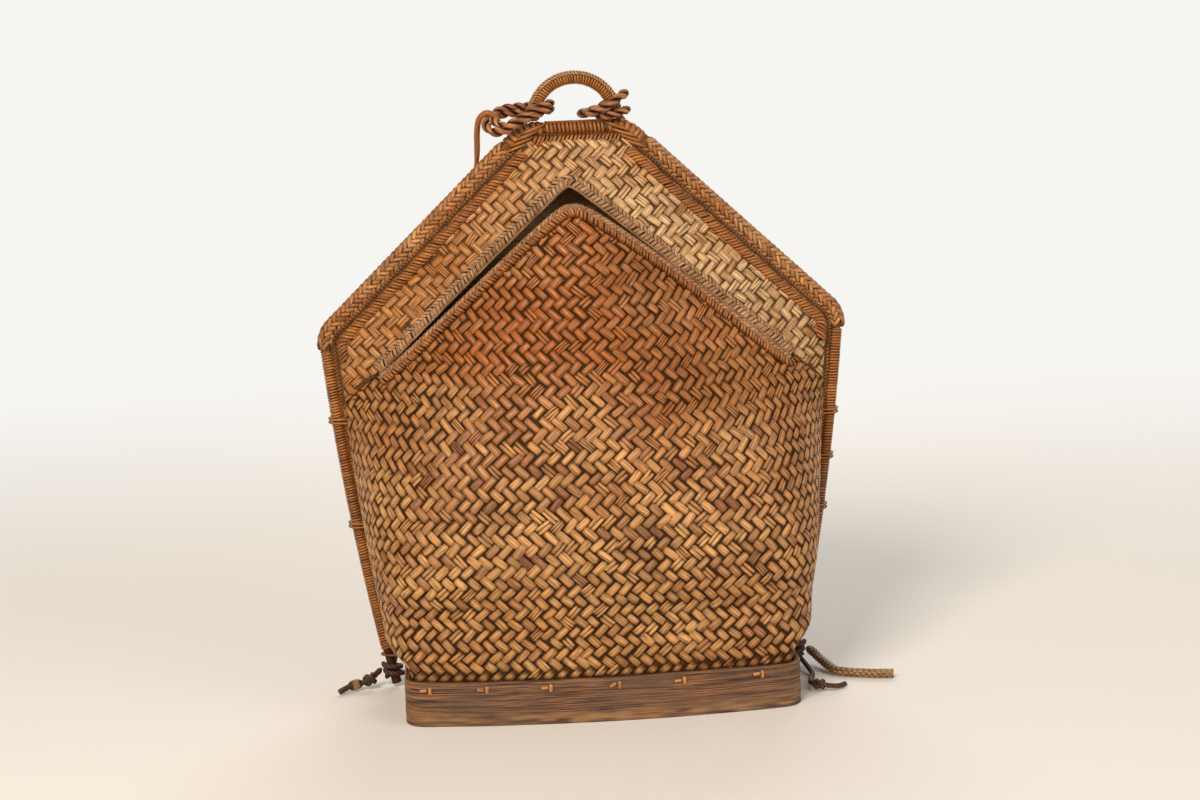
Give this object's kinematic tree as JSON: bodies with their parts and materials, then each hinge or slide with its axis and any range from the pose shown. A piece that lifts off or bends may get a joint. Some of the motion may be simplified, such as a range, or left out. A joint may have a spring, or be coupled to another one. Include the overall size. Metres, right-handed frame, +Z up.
{
  "type": "pack basket",
  "caption": "Plaited rattan pack basket with a bent-cane frame, chevron mouth, bent-wood foot band, top handle and shoulder straps.",
  "frame": {"origin": "middle of the underside of the foot band's rear lath, on the surface the basket stands on", "axes": "+Z up towards the carrying handle, -Y towards the bulging front, +X to the right seen from the front"},
  "size_m": [0.3884, 0.1867, 0.4264],
  "materials": {
    "plaited_rattan": "satin",
    "bleached_rattan": "satin",
    "rattan_binding": "satin",
    "weathered_wood": "matte",
    "rattan_rope": "matte",
    "dark_cord": "matte"
  },
  "bodies": {
    "basket": {"foot_band": "weathered_wood", "floor_panel": "plaited_rattan", "pouch_front": "plaited_rattan", "back_panel": "plaited_rattan", "yoke_front": "bleached_rattan", "lip_roll": "rattan_binding", "mouth_binding": "bleached_rattan", "frame_cane": "rattan_binding", "side_binding_left": "rattan_binding", "side_binding_right": "rattan_binding", "rim_braid_left": "bleached_rattan", "rim_braid_right": "bleached_rattan", "corner_lashing_left": "rattan_binding", "corner_lashing_right": "rattan_binding", "top_bar_binding": "rattan_binding", "inner_rim_left": "rattan_binding", "inner_rim_right": "rattan_binding", "rod_lashing_left_1": "rattan_binding", "rod_lashing_left_2": "rattan_binding", "rod_lashing_right_1": "rattan_binding", "rod_lashing_right_2": "rattan_binding", "rod_lashing_right_3": "rattan_binding", "foot_lashing_left": "rattan_rope", "foot_lashing_right": "rattan_rope", "foot_tie_left": "dark_cord", "foot_tie_right": "dark_cord", "tie_tail_left": "dark_cord", "tie_tail_right": "dark_cord", "tie_knot_left": "dark_cord", "tie_knot_right": "dark_cord", "tie_bead_left": "rattan_binding", "strap_tail_right": "bleached_rattan", "handle_core": "rattan_binding", "handle_wrap": "rattan_binding", "strap_knot_left": "rattan_rope", "strap_knot_right": "rattan_rope", "strap_hook_left": "rattan_binding", "strap_hook_right": "rattan_binding", "base_stitch_front_1": "bleached_rattan", "base_stitch_front_2": "bleached_rattan", "base_stitch_front_3": "bleached_rattan", "base_stitch_front_4": "bleached_rattan", "base_stitch_front_5": "bleached_rattan", "base_stitch_front_6": "bleached_rattan", "base_stitch_rear_1": "bleached_rattan", "base_stitch_rear_2": "bleached_rattan", "base_stitch_rear_3": "bleached_rattan", "base_stitch_rear_4": "bleached_rattan"},
    "left_strap": {"strap_left": "bleached_rattan"},
    "right_strap": {"strap_right": "bleached_rattan"}
  },
  "joints": [
    {"name": "strap_left_swing", "type": "hinge", "parent": "basket", "child": "left_strap", "pos_m": [-0.1055, 0.00995, 0.188], "axis": [0.2064, 0.0003, 0.9785], "range_deg": [-60, 60]},
    {"name": "strap_right_swing", "type": "hinge", "parent": "basket", "child": "right_strap", "pos_m": [0.093, 0.01095, 0.1905], "axis": [-0.269, 0.0058, 0.9631], "range_deg": [-60, 60]}
  ]
}
